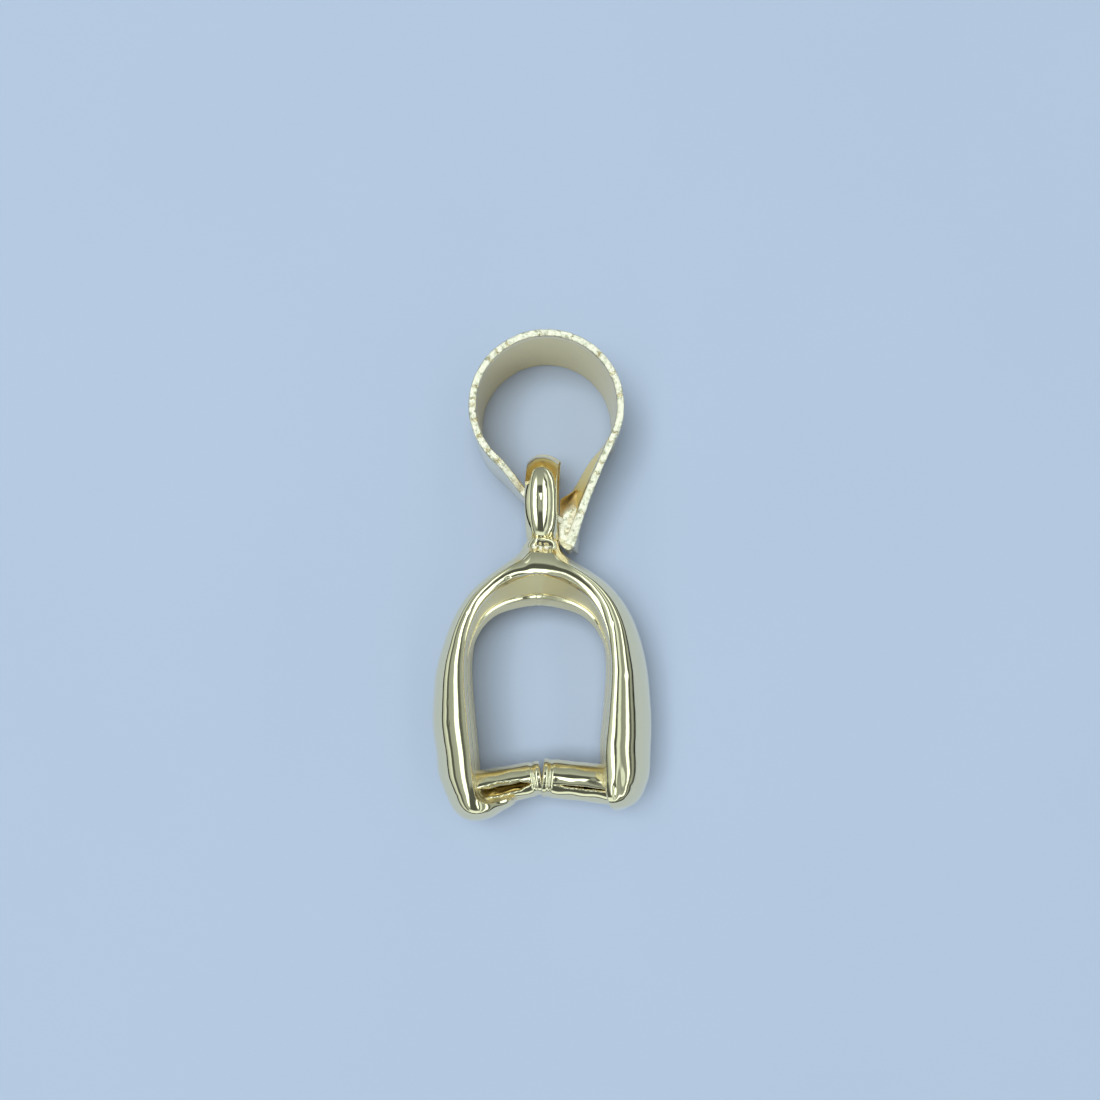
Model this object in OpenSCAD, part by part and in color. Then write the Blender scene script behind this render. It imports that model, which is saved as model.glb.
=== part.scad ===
/* [Loop] */
// Outer diameter of the round part of the loop
loop_d = 7.2; // [6:0.1:10]
// Distance from the centre of the round part to the soldered tip
loop_l = 6.5; // [5.6:0.1:9]
// Sideways lean of the loop from the clip's centre line, in degrees
loop_lean = 10; // [0:1:14]
// Thickness of the loop's strap
strap_t = 0.36; // [0.25:0.01:0.5]
// Thickness of the right leg at the soldered tip
lap_t = 0.54; // [0.5:0.02:0.8]
// Width of the loop's strap at the top
strap_w = 5; // [3.6:0.1:6]
// How far the left leg of the loop bows outwards
leg_bow = 0.2; // [0:0.05:0.4]
// How far the right leg of the loop bows inwards
right_bow = 0.1; // [0:0.02:0.14]
// How far the far edge of the right leg is twisted inwards
leg_twist = 0.74; // [0:0.02:0.8]
// Length of the lap that joins the two ends of the strap
lap_l = 0.75; // [0.5:0.05:1]
// Length of solder that fills the crotch above the tip
solder_l = 1.9; // [1.5:0.1:2.4]
// Gap between the loop and the ring
link_gap = 0.12; // [0.1:0.01:0.2]

/* [Ring] */
// Outer diameter of the ring
ring_d = 4.9; // [4.6:0.1:6]
// Turn of the ring about the clip's centre line, in degrees
ring_turn = 6; // [0:1:8]
// Width of the ring's band
ring_w = 1.5; // [1.1:0.05:1.8]
// Wall of the ring at its crown
ring_t = 0.4; // [0.3:0.05:0.5]

/* [Clip] */
// Height of the neck from the foot of the ring to the lip of the arch
lip_drop = 0.95; // [0.5:0.05:1]
// Widest gap between the arms
clip_gap = 6.6; // [5:0.1:9]
// Height from the lip of the arch to the ends of the arms
clip_h = 11.5; // [9:0.1:16]
// Depth of the band from its near rim to its far rim
clip_depth = 5.2; // [4.4:0.1:6.4]
// Thickness of the arms at their domed crown
arm_t = 2.2; // [1.6:0.05:2.6]
// How far the arch stands to the left of the ring
arch_left = 0.33; // [0:0.01:0.4]
// How far the liner stands below the lip of the arch
liner_drop = 1.08; // [0.4:0.02:1.4]
// How far the liner bows inwards at mid depth
liner_bow = 0.3; // [0.1:0.02:0.5]
// Thickness of the liner's cut edge
liner_t = 0.14; // [0.08:0.02:0.3]
// Depth of the liner's edge below the rims
liner_inset = 1.5; // [0.6:0.05:1.6]
// Width of the rounded corner along the inner edge of the rims
lip_round = 0.12; // [0.06:0.02:0.2]

/* [Pegs] */
// Radius of the pegs where they leave the arms
peg_root_r = 0.84; // [0.5:0.01:0.9]
// Radius of the left peg at its tip
left_tip_r = 0.7; // [0.4:0.01:0.85]
// Radius of the right peg at its tip
right_tip_r = 0.8; // [0.4:0.01:0.85]
// Thickness of the sheet that the pegs are rolled from
peg_wall = 0.2; // [0.12:0.02:0.3]
// Slope of the left peg, which rises towards its tip, in degrees
left_rise = 11; // [0:1:14]
// Slope of the right peg, which rises towards its tip, in degrees
right_rise = 6; // [0:1:14]
// Height of the pegs' tips above the ends of the arms
peg_up = 2.05; // [1.8:0.05:3]
// Where the pegs' tips meet, to the right of the middle between the arms
peg_meet = 0.16; // [0:0.02:0.3]
// Gap between the tips of the pegs
peg_gap = 0.12; // [0.1:0.02:1]
// Widest opening of the left peg's seam
seam_left_w = 0.74; // [0.2:0.02:0.9]
// Widest opening of the right peg's seam
seam_right_w = 0.34; // [0.1:0.02:0.6]

/* [Hidden] */
gold = "#d9c88f";

ring_r = ring_d / 2;
hole_r = ring_r - ring_t;
crown_r = (pow(ring_w / 2, 2) + pow(ring_t, 2)) / (2 * ring_t);
mid_z = clip_depth / 2;

function lerp(a, b, t) = a + (b - a) * t;
function turn(v, a) = [v[0] * cos(a) - v[1] * sin(a), v[0] * sin(a) + v[1] * cos(a)];
function unit(v) = v / norm(v);
function left_of(v) = [-v[1], v[0]];

// The loop's tip lies beside the ring, and its round part above the ring
tip_out = 0.3;
tip = [ring_w / 2 + link_gap + tip_out, -hole_r];
loop_c = tip + loop_l * [-sin(loop_lean), cos(loop_lean)];
loop_mid_r = (loop_d - strap_t) / 2;

// Where the tangent from a point outside the loop touches its mid line, on one side (1 or -1)
function touch(p, side) =
    let (v = loop_c - p, half = asin(loop_mid_r / norm(v)))
    p + turn(unit(v), side * half) * norm(v) * cos(half);

right_touch = touch(tip, -1);
right_dir = unit(right_touch - tip);
lap_end = tip + lap_l * right_dir + strap_t * left_of(right_dir);
left_touch = touch(lap_end, 1);
left_dir = unit(left_touch - lap_end);

// The strap is as wide as the ring's hole lets it be where it leaves the ring on the right,
// and as narrow from where it enters the ring on the left
pass_x = ring_w / 2 + hole_r * sin(ring_turn);
function share_at(x) = (x - left_touch[0]) / (lap_end[0] - left_touch[0]);
exit_low = lerp(left_touch[1], lap_end[1], share_at(pass_x)) - strap_t / 2 / abs(left_dir[0]);
pass_w = 2 * (sqrt(pow(hole_r - link_gap, 2) - pow(exit_low, 2)) - pass_x * sin(ring_turn));

a_right = atan2(right_touch[1] - loop_c[1], right_touch[0] - loop_c[0]);
a_left = atan2(left_touch[1] - loop_c[1], left_touch[0] - loop_c[0]) + 360;

// Leg stations [mid point, share of the way from full to narrow width, far edge's lean, thickness].
// A leg is a little smaller than the round part on every side, and its end lies inside the round part
leg_steps = 12;
leg_taper = 1.6;
leg_less = 0.02;
leg_in = 0.05;
leg_t = strap_t - leg_less;
lap_taper = 3;

// Twist of the right leg [share of the way from the tip, share of the twist]
TWIST = [
    [0, -0.35], [0.1, -0.2], [0.2, 0.15], [0.3, 0.6], [0.4, 0.92], [0.5, 1],
    [0.65, 0.86], [0.75, 0.8], [0.87, 0.7], [0.95, 0.42], [1, 0]
];
right_leg = [for (i = [0:leg_steps])
    let (t = i / leg_steps, thick = lerp(leg_t, lap_t, pow(1 - t, lap_taper)))
    let (inwards = (thick - leg_t) / 2 + right_bow * sin(180 * t))
    let (p = lerp(tip, right_touch + leg_in * right_dir, t) + inwards * left_of(right_dir))
    [p, pow(1 - t, leg_taper), leg_twist * lookup(t, TWIST), thick]];
left_leg = [for (i = [0:leg_steps])
    let (t = i / leg_steps, bow = leg_bow * pow(sin(180 * t), 2))
    let (p = lerp(left_touch - leg_in * left_dir, lap_end, t) + bow * left_of(left_dir))
    [p, pow(min(1, t / share_at(-pass_x)), leg_taper), 0, leg_t]];

function leg_normal(leg, i) =
    leg[i][1] == 0 ? unit(loop_c - leg[i][0]) :
    let (a = leg[max(i - 1, 0)][0], b = leg[min(i + 1, len(leg) - 1)][0])
    left_of(unit(b - a));

// Four corners of the strap at a station: outer and inner on the near edge, inner and outer on the far
function leg_corners(leg, i) =
    let (p = leg[i][0], n = leg_normal(leg, i), share = leg[i][1])
    let (half_t = leg[i][3] / 2 * n, w = lerp(strap_w - leg_less, pass_w, share))
    let (zc = lerp(strap_w / 2, mid_z, share))
    let (far = p + leg[i][2] * n)
    [
        [p[0] - half_t[0], p[1] - half_t[1], zc + w / 2],
        [p[0] + half_t[0], p[1] + half_t[1], zc + w / 2],
        [far[0] + half_t[0], far[1] + half_t[1], zc - w / 2],
        [far[0] - half_t[0], far[1] - half_t[1], zc - w / 2]
    ];

// Skin over equal closed sections, with a fan of triangles over each end
module skin(sections) {
    m = len(sections[0]);
    last = len(sections) - 1;
    sides = [for (i = [0:last - 1], j = [0:m - 1]) let (a = i * m + j, b = i * m + (j + 1) % m)
        each [[a, b, a + m], [b, b + m, a + m]]];
    ends = [for (j = [1:m - 2]) each [[0, j + 1, j], [last * m, last * m + j, last * m + j + 1]]];
    polyhedron(points = [for (s = sections) each s], faces = concat(sides, ends), convexity = 6);
}

// A point near the loop's soldered tip, by its distances along and across the right leg
function at_tip(along, across) = tip + along * right_dir + across * left_of(right_dir);

module bail_loop() {
    solder_w = 0.96 * pass_w;
    inner_x = ring_w / 2 / cos(ring_turn) + solder_w / 2 * tan(ring_turn) + link_gap;
    crotch = lerp(lap_end, left_touch, (lap_end[0] - inner_x) / (lap_end[0] - left_touch[0]));
    color(gold)
    union() {
        translate(loop_c)
        rotate(a_right)
        rotate_extrude(angle = a_left - a_right, $fn = 96)
        translate([loop_mid_r - strap_t / 2, 0])
        square([strap_t, strap_w]);
        skin([for (i = [0:leg_steps]) leg_corners(right_leg, i)]);
        skin([for (i = [0:leg_steps]) leg_corners(left_leg, i)]);
        translate([0, 0, mid_z - solder_w / 2])
        linear_extrude(solder_w)
        polygon([
            [inner_x, crotch[1] + strap_t / 2],
            at_tip(solder_l, 0),
            at_tip(lap_l, -strap_t / 4),
            at_tip(-strap_t / 2, -strap_t / 4),
            at_tip(-strap_t * 2 / 3, strap_t / 4),
            [inner_x, at_tip(0, strap_t)[1]],
            [inner_x, crotch[1] - strap_t / 2]
        ]);
    }
}

// Half of the band, from the top of the arch down an arm, in shares of the sizes
// [half gap, height below the lip, crown on the right, crown on the left, depth, liner]
BAND = [
    [0,     0,     0.64, 0.64, 0.84, 1],
    [0.13,  0.004, 0.59, 0.58, 0.84, 0.98],
    [0.34,  0.024, 0.49, 0.42, 0.86, 0.9],
    [0.59,  0.07,  0.5,  0.38, 0.9,  0.66],
    [0.79,  0.133, 0.58, 0.41, 0.94, 0.42],
    [0.92,  0.215, 0.67, 0.47, 0.97, 0.2],
    [0.985, 0.31,  0.76, 0.57, 1,    0.04],
    [0.995, 0.41,  0.85, 0.7,  1,    0],
    [0.95,  0.57,  0.98, 0.81, 1,    0],
    [0.905, 0.69,  1.02, 0.8,  1,    0]
];
// The right arm ends in a rounded finger
// [half gap, height below the lip, crown, depth, inner face]
FINGER = [
    [0.91,  0.783, 0.99, 1,    0],
    [0.905, 0.83,  0.93, 0.97, 0],
    [0.9,   0.87,  0.85, 0.9,  0.005],
    [0.895, 0.905, 0.73, 0.76, 0.02],
    [0.895, 0.93,  0.59, 0.56, 0.06],
    [0.895, 0.947, 0.42, 0.3,  0.14]
];
// The left arm's end turns in under the left peg, with the same columns
HOOK = [
    [0.873, 0.783, 0.79, 0.99, 0],
    [0.845, 0.842, 0.7,  0.96, 0],
    [0.797, 0.879, 0.62, 0.9,  0],
    [0.682, 0.895, 0.42, 0.8,  0],
    [0.524, 0.891, 0.27, 0.62, 0],
    [0.3,   0.876, 0.2,  0.42, 0]
];

lip_y = -ring_r - lip_drop;
end_y = lip_y - clip_h;
function reversed(rows) = [for (i = [len(rows) - 1:-1:0]) rows[i]];
function end_row(side, row) = [side * row[0], row[1], row[2], row[3], 0, row[4]];
band_rows = concat(
    [for (row = reversed(HOOK)) end_row(-1, row)],
    [for (row = reversed(BAND)) [-row[0], row[1], row[3], row[4], row[5], 0]],
    [for (i = [1:len(BAND) - 1]) [BAND[i][0], BAND[i][1], BAND[i][2], BAND[i][4], BAND[i][5], 0]],
    [for (row = FINGER) end_row(1, row)]
);

// Smooth curve through the rows, four steps to a row
band_steps = 4;
function row_at(i) = band_rows[min(max(i, 0), len(band_rows) - 1)];
function smooth(a, b, c, d, t) =
    0.5 * (2 * b + (c - a) * t + (2 * a - 5 * b + 4 * c - d) * t * t + (3 * b - a - 3 * c + d) * t * t * t);
band = [for (k = [0:(len(band_rows) - 1) * band_steps])
    let (i = floor(k / band_steps), t = k / band_steps - i)
    smooth(row_at(i - 1), row_at(i), row_at(i + 1), row_at(i + 2), t)];

function band_point(i) = [band[i][0] * clip_gap / 2 - arch_left, lip_y - band[i][1] * clip_h];
function band_out(i) =
    let (a = band_point(max(i - 1, 0)), b = band_point(min(i + 1, len(band) - 1)))
    left_of(unit(b - a));

// Closed section of the band at a station, as [distance outwards, height from mid depth]:
// the dome outside, and the liner between its two cut edges inside
inset_share = 1 - 2 * liner_inset / clip_depth;
dome_steps = 14;
dome_from = 84;
dome_power = 0.87;
edge_share = 0.03;
function dome_point(a, height, half) =
    [height * pow(cos(a), dome_power), half * sign(a) * pow(abs(sin(a)), dome_power)];
function band_profile(crown, half, liner, inner) =
    let (drop = liner_drop * liner, ledge = liner_t * min(1, liner * 3))
    let (bow = liner_bow * min(1, liner * 1.5), lip_z = half - min(lip_round, half / 4))
    let (step_z = half * inset_share, flat_z = step_z - edge_share * half)
    [
        for (k = [0:dome_steps])
            [inner, 0] + dome_point(lerp(dome_from, -dome_from, k / dome_steps), crown - inner, half),
        [inner, -lip_z],
        [inner + ledge - drop, -step_z],
        [inner - drop, -flat_z],
        [inner - drop - bow, 0],
        [inner - drop, flat_z],
        [inner + ledge - drop, step_z],
        [inner, lip_z]
    ];
function band_section(i) =
    let (row = band[i], p = band_point(i), n = band_out(i))
    [for (q = band_profile(arm_t * row[2], clip_depth / 2 * row[3], row[4], arm_t * row[5]))
        [p[0] + q[0] * n[0], p[1] + q[0] * n[1], mid_z + q[1]]];

module band() {
    skin([for (i = [0:len(band) - 1]) band_section(i)]);
}

// The ring's own place: its axis lies across the clip, with its near side turned to the left
module ring_place() {
    translate([0, 0, mid_z]) rotate([0, 90 - ring_turn, 0]) children();
}

// The ring's domed band, a little wider inside than the bore that is cut through it
module ring() {
    rotate_extrude($fn = 96)
    intersection() {
        translate([ring_r - crown_r, 0]) circle(crown_r, $fn = 64);
        translate([hole_r - ring_t / 8, -ring_w]) square([2 * ring_t, 2 * ring_w]);
    }
}

// The pegs run from the middle of the clip into the arms
peg_l = 0.9 * clip_gap / 2 + 0.3;
peg_over = 0.1;

// Half of a peg's leaf-shaped seam [share of the hollow's length, share of the seam's width]
SEAM = [[1, 0.3], [0.65, 0.5], [0.25, 0.37]];
seam_end = 0.12;
seam_low = 0.08;

// A rolled peg that ends at the middle and runs to -X, with the seam on its near side
module peg(rise, tip_r, seam_w) {
    hollow_l = peg_l - 3 * peg_wall;
    translate([0, end_y + peg_up, mid_z])
    rotate([0, 0, rise])
    difference() {
        translate([peg_over, 0, 0])
        rotate([0, -90, 0])
        cylinder(peg_l + peg_over, tip_r, peg_root_r, $fn = 48);
        translate([-peg_wall * 2, 0, 0])
        rotate([0, -90, 0])
        cylinder(hollow_l, tip_r - peg_wall, peg_root_r - peg_wall, $fn = 48);
        translate([0, -seam_low, 0])
        linear_extrude(clip_depth)
        polygon([
            for (row = SEAM) [-hollow_l * row[0], seam_w * row[1]],
            [-hollow_l * seam_end, 0],
            for (row = reversed(SEAM)) [-hollow_l * row[0], -seam_w * row[1]]
        ]);
    }
}

// A peg on the left, its tip cut upright at half the gap between the tips
module left_peg(rise, tip_r, seam_w) {
    difference() {
        peg(rise, tip_r, seam_w);
        translate([-peg_gap / 2, end_y, 0]) cube([clip_gap, clip_h, clip_depth]);
    }
}

module pinch_clip() {
    color(gold)
    union() {
        difference() {
            union() {
                band();
                ring_place() ring();
            }
            ring_place() translate([0, 0, -ring_w]) cylinder(2 * ring_w, r = hole_r, $fn = 96);
        }
        translate([peg_meet - arch_left, 0, 0]) {
            left_peg(left_rise, left_tip_r, seam_left_w);
            mirror([1, 0, 0]) left_peg(right_rise, right_tip_r, seam_right_w);
        }
    }
}

// The middle of the part's length and width lies on the origin, and its far rims on the floor
band_points = [for (i = [0:len(band) - 1], q = band_section(i)) q];
low_y = min([for (q = band_points) q[1]]);
middle = [
    (min([for (q = band_points) q[0]]) + max([for (q = band_points) q[0]])) / 2,
    (loop_c[1] + loop_d / 2 + low_y) / 2,
    0
];
translate(-middle) bail_loop();
translate(-middle) pinch_clip();
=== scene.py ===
"""Looks of a pinch bail in polished pale gold plate, lying on a pale surface and seen from above.

A flat strap, bent on edge into a teardrop and soldered at its tip, hangs on the domed ring of a
U-shaped clip, whose arms end in two pegs rolled from sheet. Lengths in this file are millimetres
in the part's own frame, and become metres when a mesh is made.
"""

import bpy
import numpy as np
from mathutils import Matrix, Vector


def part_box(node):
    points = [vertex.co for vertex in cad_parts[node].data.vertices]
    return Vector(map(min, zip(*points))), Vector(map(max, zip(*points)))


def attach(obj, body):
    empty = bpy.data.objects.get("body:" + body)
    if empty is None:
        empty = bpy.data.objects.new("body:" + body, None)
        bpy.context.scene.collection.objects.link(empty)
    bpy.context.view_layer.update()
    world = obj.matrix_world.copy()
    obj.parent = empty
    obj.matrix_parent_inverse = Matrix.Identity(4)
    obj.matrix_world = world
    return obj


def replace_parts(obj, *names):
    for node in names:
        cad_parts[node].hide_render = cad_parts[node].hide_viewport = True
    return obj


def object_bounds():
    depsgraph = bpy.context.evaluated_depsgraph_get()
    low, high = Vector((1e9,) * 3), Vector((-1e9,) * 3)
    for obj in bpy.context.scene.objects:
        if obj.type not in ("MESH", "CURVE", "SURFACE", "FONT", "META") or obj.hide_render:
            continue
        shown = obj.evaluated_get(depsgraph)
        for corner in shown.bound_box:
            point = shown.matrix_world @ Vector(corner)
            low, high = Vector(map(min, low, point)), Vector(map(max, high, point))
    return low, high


bl_info = {
    "name": "Pinch bail looks",
    "version": (1, 0, 0),
    "blender": (4, 5, 0),
    "location": "3D View > Sidebar > Pinch bail",
    "description": "Polished pieces, floor, light and camera for a pinch bail",
    "category": "Object",
}

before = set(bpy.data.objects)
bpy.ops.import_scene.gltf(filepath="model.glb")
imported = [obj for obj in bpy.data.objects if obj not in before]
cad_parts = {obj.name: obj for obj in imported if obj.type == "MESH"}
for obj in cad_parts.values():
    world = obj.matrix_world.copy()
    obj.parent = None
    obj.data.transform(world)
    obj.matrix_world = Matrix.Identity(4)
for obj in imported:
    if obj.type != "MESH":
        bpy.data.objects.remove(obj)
CAD_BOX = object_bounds()
MM = 0.001
BODY = "root"

# Stations along the pieces: enough for a smooth polish, and each piece under 200,000 triangles
STRAP_STATIONS, SOLDER_STATIONS, BAND_STATIONS, PEG_STATIONS = 1100, 200, 480, 300
CROWN_POINTS, RING_ANGLES = 64, 360
# How far the solder runs in under the ring's side, mm
SOLDER_REACH = 0.26
# Depth of the polished band as a share of its size, and what the polish takes off the ring's sides, mm
POLISHED_DEPTH, RING_TRIM = 0.992, 0.02
# Lean of the ring's far half as a share of the near half's
FAR_LEAN = 0.35
# The photograph's width in pixels and the camera's sensor in mm
PHOTO_PX, SENSOR = 1100, 36.0


# Shapes


def lerp(a, b, t):
    return a + (b - a) * t


def left_of(v):
    """The vector turned a quarter turn to the left, for arrays of 2D vectors."""
    return np.stack([-v[..., 1], v[..., 0]], axis=-1)


def unit(v):
    return v / np.linalg.norm(v, axis=-1, keepdims=True)


def turned(v, degrees):
    a = np.radians(degrees)
    return np.array([v[0] * np.cos(a) - v[1] * np.sin(a), v[0] * np.sin(a) + v[1] * np.cos(a)])


def smooth_rows(rows, t):
    """Catmull-Rom curve through the rows of a table, t running from 0 to the last row's number."""
    rows = np.asarray(rows, float)
    last = len(rows) - 1
    i = np.clip(np.floor(t).astype(int), 0, last - 1)
    f = (t - i)[:, None]
    a, b, c, d = (rows[np.clip(i + k, 0, last)] for k in (-1, 0, 1, 2))
    return 0.5 * (2 * b + (c - a) * f + (2 * a - 5 * b + 4 * c - d) * f**2 + (3 * b - a - 3 * c + d) * f**3)


def step(edge0, edge1, x):
    """Smooth step from 0 at edge0 to 1 at edge1."""
    t = np.clip((x - edge0) / (edge1 - edge0), 0, 1)
    return t * t * (3 - 2 * t)


def bump(x, centre, width):
    """Bell of height 1 round centre."""
    return np.exp(-(((x - centre) / width) ** 2))


def ripple(x, waves, seed):
    """Sum of sines of the given wavelengths in mm, with seeded phases, between about -1 and 1."""
    phases = np.random.default_rng(seed).uniform(0, 2 * np.pi, len(waves))
    return sum(np.sin(2 * np.pi * x / w + p) for w, p in zip(waves, phases)) / len(waves)


def rounded_corners(corners, radii, steps):
    """Each corner of a closed polygon becomes a short Bezier curve. corners: (stations, m, 2)."""
    before, after = np.roll(corners, 1, axis=1) - corners, np.roll(corners, -1, axis=1) - corners
    radii = np.asarray(radii, float)[None, :, None]

    def reach(v):
        length = np.linalg.norm(v, axis=-1, keepdims=True)
        return v / np.maximum(length, 1e-9) * np.minimum(radii, 0.46 * length)

    p0, p2 = corners + reach(before), corners + reach(after)
    f = np.linspace(0, 1, steps)[None, None, :, None]
    curve = (1 - f) ** 2 * p0[:, :, None] + 2 * f * (1 - f) * corners[:, :, None] + f**2 * p2[:, :, None]
    return curve.reshape(len(corners), -1, 2)


def make_piece(name, grid, material, marks=None, endless=False):
    """Mesh from a grid of points (stations, points round, 3) in mm. Each station is a closed curve.
    The first and last are closed by a fan to their middle, or joined when the piece is endless.
    marks are values at the points, kept as attributes that the materials read."""
    rows, cols, _ = grid.shape
    low, high = np.array(CAD_BOX[0]) / MM, np.array(CAD_BOX[1]) / MM
    points = np.clip(grid.reshape(-1, 3), low, high)
    r, c = np.meshgrid(np.arange(rows if endless else rows - 1), np.arange(cols), indexing="ij")
    a, b = r * cols + c, r * cols + (c + 1) % cols
    up, over = (a + cols) % (rows * cols), (b + cols) % (rows * cols)
    quads = np.stack([a, b, over, up], axis=-1).reshape(-1, 4)
    fans = np.zeros((0, 3), int)
    if not endless:
        points = np.concatenate([points, grid[:1].mean(axis=1), grid[-1:].mean(axis=1)])
        k, end = np.arange(cols), (rows - 1) * cols
        first = np.stack([(k + 1) % cols, k, np.full(cols, rows * cols)], axis=-1)
        last = np.stack([end + k, end + (k + 1) % cols, np.full(cols, rows * cols + 1)], axis=-1)
        fans = np.concatenate([first, last])
    tris = np.concatenate([quads[:, [0, 1, 2]], quads[:, [0, 2, 3]], fans])
    p, q, s = (points[tris[:, i]] for i in range(3))
    if np.einsum("ij,ij->i", p, np.cross(q, s)).sum() < 0:
        quads, fans = quads[:, ::-1], fans[:, ::-1]
    mesh = bpy.data.meshes.new(name)
    mesh.from_pydata((points * MM).tolist(), [], quads.tolist() + fans.tolist())
    mesh.polygons.foreach_set("use_smooth", np.ones(len(mesh.polygons), bool))
    for key, values in (marks or {}).items():
        flat = np.broadcast_to(values, (rows, cols)).reshape(-1)
        flat = flat if endless else np.concatenate([flat, [flat[0], flat[-1]]])
        mesh.attributes.new(key, "FLOAT", "POINT").data.foreach_set("value", flat.astype(np.float32))
    mesh.materials.append(material)
    piece = bpy.data.objects.new(name, mesh)
    bpy.context.scene.collection.objects.link(piece)
    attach(piece, BODY)
    return piece


class Layout:
    """Points and directions that several pieces share, worked out from the sizes."""

    def __init__(self, s):
        lo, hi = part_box("pinch_clip")
        self.ring_r = s.ring_d / 2
        self.hole_r = self.ring_r - s.ring_t
        self.mid_z = s.clip_depth / 2
        self.ring_c = np.array([s.ring_x, hi.y / MM - self.ring_r])
        self.arch_x = s.ring_x - s.arch_left
        self.tip = self.ring_c + np.array([s.ring_w / 2 + s.link_gap + s.tip_out, -self.hole_r])
        lean = np.radians(s.loop_lean)
        self.loop_c = self.tip + s.loop_l * np.array([-np.sin(lean), np.cos(lean)])
        self.loop_r = (s.loop_d - s.strap_t) / 2
        self.right_touch = self.touch(self.tip, -1)
        self.right_dir = unit(self.right_touch - self.tip)
        self.lap_end = self.tip + s.lap_l * self.right_dir + s.strap_t * left_of(self.right_dir)
        self.left_touch = self.touch(self.lap_end, 1)
        self.left_dir = unit(self.left_touch - self.lap_end)
        self.lip_y = self.ring_c[1] - self.ring_r - s.lip_drop
        self.end_y = self.lip_y - s.clip_h
        # the strap is as wide as the ring's hole lets it be where it leaves the ring
        turn = np.radians(s.ring_turn)
        pass_x = s.ring_w / 2 + self.hole_r * np.sin(turn)
        self.narrow_at = self.share_at(-pass_x)
        low = lerp(self.left_touch[1], self.lap_end[1], self.share_at(pass_x)) - self.ring_c[1]
        low -= s.strap_t / 2 / abs(self.left_dir[0])
        self.pass_w = 2 * (np.sqrt((self.hole_r - s.link_gap) ** 2 - low**2) - pass_x * np.sin(turn))
        solder_w = 0.96 * self.pass_w
        self.inner_x = self.ring_c[0] + s.ring_w / 2 / np.cos(turn) + solder_w / 2 * np.tan(turn) + s.link_gap

    def share_at(self, x):
        """Share of the left leg's length, from its top, at a distance x from the ring's middle."""
        return (x + self.ring_c[0] - self.left_touch[0]) / (self.lap_end[0] - self.left_touch[0])

    def touch(self, p, side):
        """Where the tangent from p touches the loop's mid line, on one side (1 or -1)."""
        v = self.loop_c - p
        half = np.degrees(np.arcsin(self.loop_r / np.linalg.norm(v)))
        return p + turned(unit(v), side * half) * np.linalg.norm(v) * np.cos(np.radians(half))


# Twist of the loop's right leg: share of the way from the tip, share of the twist
TWIST = [
    (0, -0.35), (0.1, -0.2), (0.2, 0.15), (0.3, 0.6), (0.4, 0.92), (0.5, 1),
    (0.65, 0.86), (0.75, 0.8), (0.87, 0.7), (0.95, 0.42), (1, 0),
]
# Marks of the cutter on the strap's near edge: share of the strap's length, half length and depth in mm
NICKS = [
    (0.10, 0.10, 0.03), (0.177, 0.16, 0.06), (0.205, 0.10, 0.05), (0.236, 0.14, 0.06), (0.267, 0.10, 0.04),
    (0.296, 0.12, 0.04), (0.308, 0.04, 0.07), (0.331, 0.05, 0.07), (0.39, 0.08, 0.05), (0.41, 0.05, 0.05),
    (0.434, 0.07, 0.06), (0.50, 0.04, 0.03), (0.56, 0.04, 0.03), (0.62, 0.12, 0.05), (0.665, 0.08, 0.05),
    (0.708, 0.10, 0.06), (0.78, 0.04, 0.05), (0.799, 0.04, 0.05), (0.841, 0.04, 0.05), (0.862, 0.05, 0.05),
    (0.938, 0.05, 0.05),
]


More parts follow.
